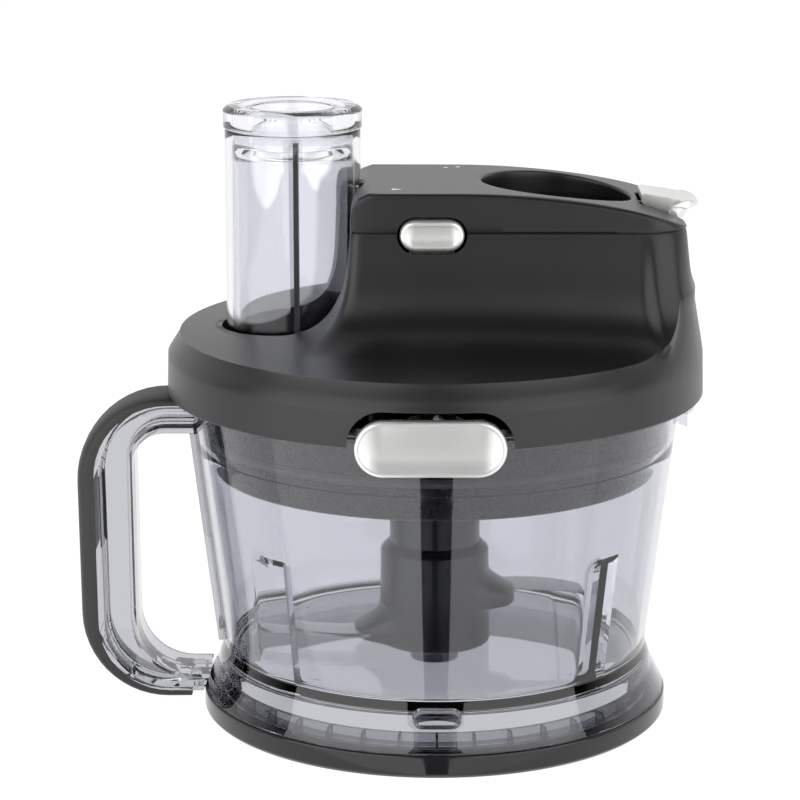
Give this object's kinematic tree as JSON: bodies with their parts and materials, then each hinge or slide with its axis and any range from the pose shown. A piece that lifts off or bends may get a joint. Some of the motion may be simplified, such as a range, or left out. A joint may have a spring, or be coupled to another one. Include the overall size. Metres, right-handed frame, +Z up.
{
  "type": "food processor attachment",
  "caption": "Clear bowl with a side handle, geared lid with feed tube, pusher, silver latches and a blade on a spindle, driven through a round motor socket.",
  "frame": {"origin": "on the bowl's axis, in the plane of the foot", "axes": "+Z up along the bowl's axis, +X towards the gear housing and motor socket, -X towards the handle, -Y towards the front latch"},
  "size_m": [0.2298, 0.1978, 0.225],
  "materials": {
    "smoky_clear": "smoke-tinted clear, polished",
    "bright_clear": "water clear, polished",
    "lid_plastic": "fine matt moulding",
    "tray_plastic": "smooth",
    "soft_grip": "soft matt",
    "foot_rubber": "soft satin",
    "seal_rubber": "soft",
    "satin_silver": "satin silver",
    "hub_plastic": "smooth satin",
    "gear_nylon": "natural nylon",
    "steel": "ground",
    "blade_steel": "ground and polished",
    "bronze": "sintered bronze"
  },
  "bodies": {
    "bowl": {"bowl": "smoky_clear", "bowl_handle": "smoky_clear", "handle_grip": "soft_grip", "base_ring": "smoky_clear", "foot_ring": "foot_rubber", "spindle_pin": "steel"},
    "lid": {"lid_cover": "lid_plastic", "top_cover": "lid_plastic", "lever_pin": "steel", "gear_tray": "tray_plastic", "lid_seal": "seal_rubber", "feed_tube": "bright_clear", "gear_bridge": "gear_nylon", "bridge_screws": "steel", "socket_liner": "tray_plastic", "lay_axle": "steel", "input_bearing": "bronze", "output_bearing": "bronze", "shaft_seal": "seal_rubber", "latch_spring_front": "steel", "latch_spring_rear": "steel", "release_spring_front": "steel", "release_spring_rear": "steel"},
    "pusher": {"pusher": "bright_clear"},
    "latch_front": {"latch_front": "satin_silver"},
    "latch_rear": {"latch_rear": "satin_silver"},
    "release_front": {"release_front": "satin_silver"},
    "release_rear": {"release_rear": "satin_silver"},
    "lever": {"lever": "satin_silver"},
    "input": {"drive_coupling": "gear_nylon", "input_shaft": "steel", "input_pinion": "steel"},
    "layshaft": {"lay_wheel": "gear_nylon", "lay_pinion": "steel"},
    "output": {"output_gear": "gear_nylon", "output_shaft": "steel", "drive_stem": "hub_plastic"},
    "blade_sleeve": {"blade_sleeve": "bronze"},
    "blade": {"blade_hub": "hub_plastic", "upper_blade": "blade_steel", "lower_blade": "blade_steel"}
  },
  "joints": [
    {"name": "lid_lift", "type": "slide", "parent": "bowl", "child": "lid", "axis": [0, 0, 1], "range_m": [0, 0.15]},
    {"name": "pusher_slide", "type": "slide", "parent": "lid", "child": "pusher", "axis": [0, 0, 1], "range_m": [0, 0.12]},
    {"name": "latch_front_press", "type": "slide", "parent": "lid", "child": "latch_front", "axis": [0, 1, 0], "range_m": [0, 0.002], "stiffness_N_per_m": 900, "springref_m": -0.002, "deforming": ["latch_spring_front"]},
    {"name": "latch_rear_press", "type": "slide", "parent": "lid", "child": "latch_rear", "axis": [0, -1, 0], "range_m": [0, 0.002], "stiffness_N_per_m": 900, "springref_m": -0.002, "deforming": ["latch_spring_rear"]},
    {"name": "release_front_press", "type": "slide", "parent": "lid", "child": "release_front", "axis": [0, 1, 0], "range_m": [0, 0.0025], "stiffness_N_per_m": 600, "springref_m": -0.002, "deforming": ["release_spring_front"]},
    {"name": "release_rear_press", "type": "slide", "parent": "lid", "child": "release_rear", "axis": [0, -1, 0], "range_m": [0, 0.0025], "stiffness_N_per_m": 600, "springref_m": -0.002, "deforming": ["release_spring_rear"]},
    {"name": "lever_press", "type": "hinge", "parent": "lid", "child": "lever", "pos_m": [0.0846, 0, 0.1871], "axis": [0, 1, 0], "range_deg": [0, 15], "stiffness_Nm_per_rad": 0.05, "springref_deg": -8.59},
    {"name": "input_spin", "type": "hinge", "parent": "lid", "child": "input", "pos_m": [0.0435, 0, 0.15], "axis": [0, 0, 1], "continuous": true},
    {"name": "layshaft_spin", "type": "hinge", "parent": "lid", "child": "layshaft", "pos_m": [0.02061, 0.0123, 0.15], "axis": [0, 0, 1], "continuous": true},
    {"name": "output_spin", "type": "hinge", "parent": "lid", "child": "output", "pos_m": [0, 0, 0.13], "axis": [0, 0, 1], "continuous": true},
    {"name": "blade_lift", "type": "slide", "parent": "bowl", "child": "blade_sleeve", "axis": [0, 0, 1], "range_m": [0, 0.0675]},
    {"name": "blade_spin", "type": "hinge", "parent": "blade_sleeve", "child": "blade", "pos_m": [0, 0, 0.04], "axis": [0, 0, 1], "continuous": true}
  ],
  "couplings": [
    {"joint": "layshaft_spin", "follows": "input_spin", "ratio": -0.3},
    {"joint": "output_spin", "follows": "input_spin", "ratio": 0.1},
    {"joint": "blade_spin", "follows": "input_spin", "ratio": 0.1},
    {"joint": "blade_lift", "follows": "lid_lift", "ratio": 0.45}
  ]
}
